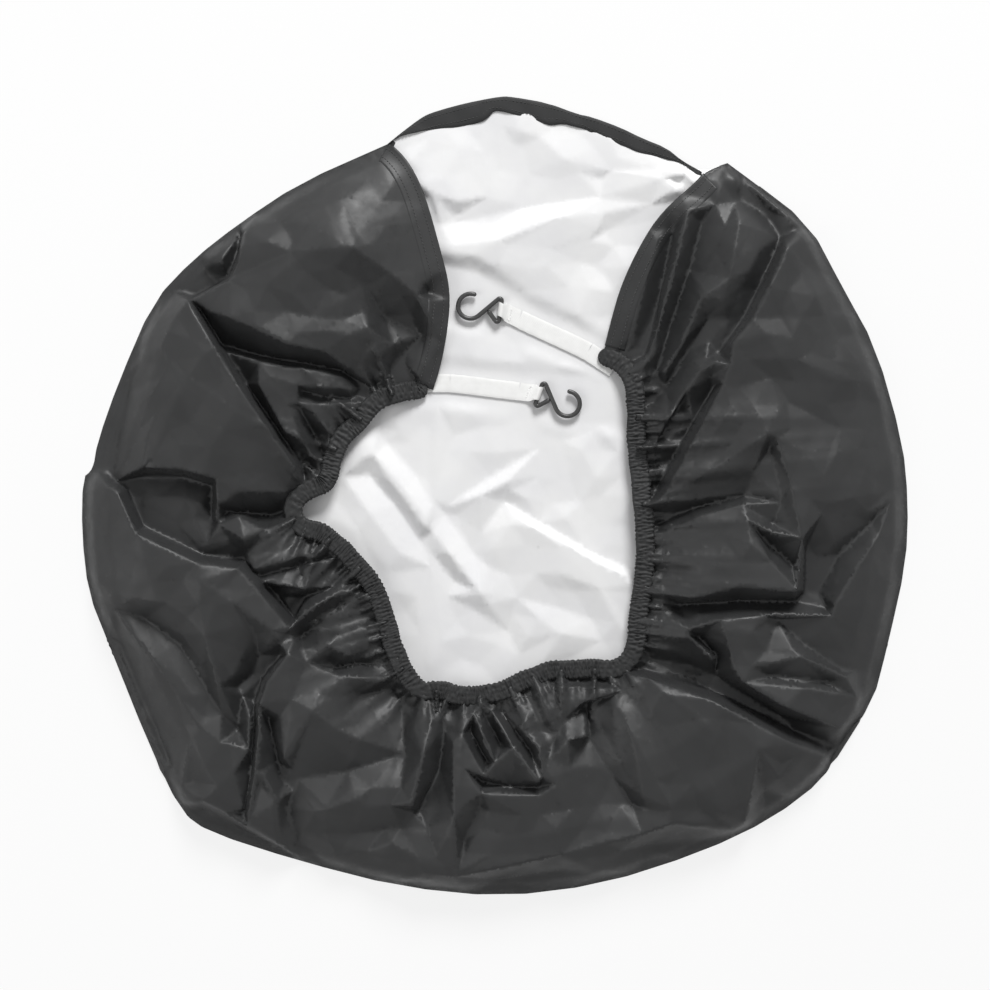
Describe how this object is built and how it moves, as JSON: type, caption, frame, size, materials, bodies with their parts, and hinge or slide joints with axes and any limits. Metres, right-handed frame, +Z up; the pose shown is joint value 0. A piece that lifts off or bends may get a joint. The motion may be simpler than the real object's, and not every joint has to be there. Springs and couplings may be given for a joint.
{
  "type": "wheel cover",
  "caption": "Soft round wheel cover with a silver lining, a gathered elastic opening and two elastic straps with wire hooks, lying flat with its back open.",
  "frame": {"origin": "under the middle of the cover's bounding box, on the ground that the face panel lies on", "axes": "+Z up out of the open back, +Y towards the gap between the band's two ends, +X to the right when looking down at the open back"},
  "size_m": [0.7415, 0.7175, 0.0524],
  "materials": {
    "black_cloth": "coated woven nylon, soft sheen",
    "silver_lining": "silver-white film lining",
    "white_webbing": "woven elastic webbing",
    "elastic_tape": "covered rubber tape",
    "seam_tape": "woven binding",
    "hook_coating": "black plastic-coated wire",
    "black_thread": "spun thread",
    "white_thread": "spun thread"
  },
  "bodies": {
    "cover": {"band_joint_thread": "black_thread", "face_hem": "black_cloth", "face_hem_thread": "black_thread", "face_lining": "silver_lining", "face_panel": "black_cloth", "hem_casing_thread": "black_thread", "hem_elastic": "elastic_tape", "left_band": "black_cloth", "left_band_lining": "silver_lining", "left_end_hem": "black_cloth", "left_end_hem_thread": "black_thread", "left_hem_casing": "black_cloth", "left_root_stitches": "black_thread", "left_strap_tab": "white_webbing", "right_band": "black_cloth", "right_band_lining": "silver_lining", "right_end_hem": "black_cloth", "right_end_hem_thread": "black_thread", "right_hem_casing": "black_cloth", "right_root_stitches": "black_thread", "right_strap_tab": "white_webbing", "rim_seam_tape": "seam_tape", "rim_seam_thread": "black_thread"},
    "left_hook_body": {"left_hook": "hook_coating"},
    "left_strap_end": {"left_loop_stitches": "white_thread", "left_strap_loop": "white_webbing"},
    "left_strap": {"left_strap_web": "white_webbing"},
    "right_hook_body": {"right_hook": "hook_coating"},
    "right_strap_end": {"right_loop_stitches": "white_thread", "right_strap_loop": "white_webbing"},
    "right_strap": {"right_strap_web": "white_webbing"}
  },
  "joints": [
    {"name": "left_strap_lift", "type": "hinge", "parent": "cover", "child": "left_strap", "pos_m": [-0.04939, 0.10198, 0.003], "axis": [0, -1, 0], "range_deg": [0, 115]},
    {"name": "left_strap_stretch", "type": "slide", "parent": "left_strap", "child": "left_strap_end", "axis": [1, 0, 0], "range_m": [0, 0.045], "stiffness_N_per_m": 60},
    {"name": "left_hook_swing", "type": "hinge", "parent": "left_strap_end", "child": "left_hook_body", "pos_m": [0.03924, 0.09217, 0.0053], "axis": [-0.3256, -0.9455, 0], "range_deg": [0, 140]},
    {"name": "right_strap_lift", "type": "hinge", "parent": "cover", "child": "right_strap", "pos_m": [0.09089, 0.12549, 0.003], "axis": [0.5446, 0.8387, 0], "range_deg": [0, 115]},
    {"name": "right_strap_stretch", "type": "slide", "parent": "right_strap", "child": "right_strap_end", "axis": [-0.8387, 0.5446, 0], "range_m": [0, 0.045], "stiffness_N_per_m": 60},
    {"name": "right_hook_swing", "type": "hinge", "parent": "right_strap_end", "child": "right_hook_body", "pos_m": [0.00484, 0.1669, 0.0053], "axis": [0.1392, 0.9903, 0], "range_deg": [0, 140]}
  ]
}
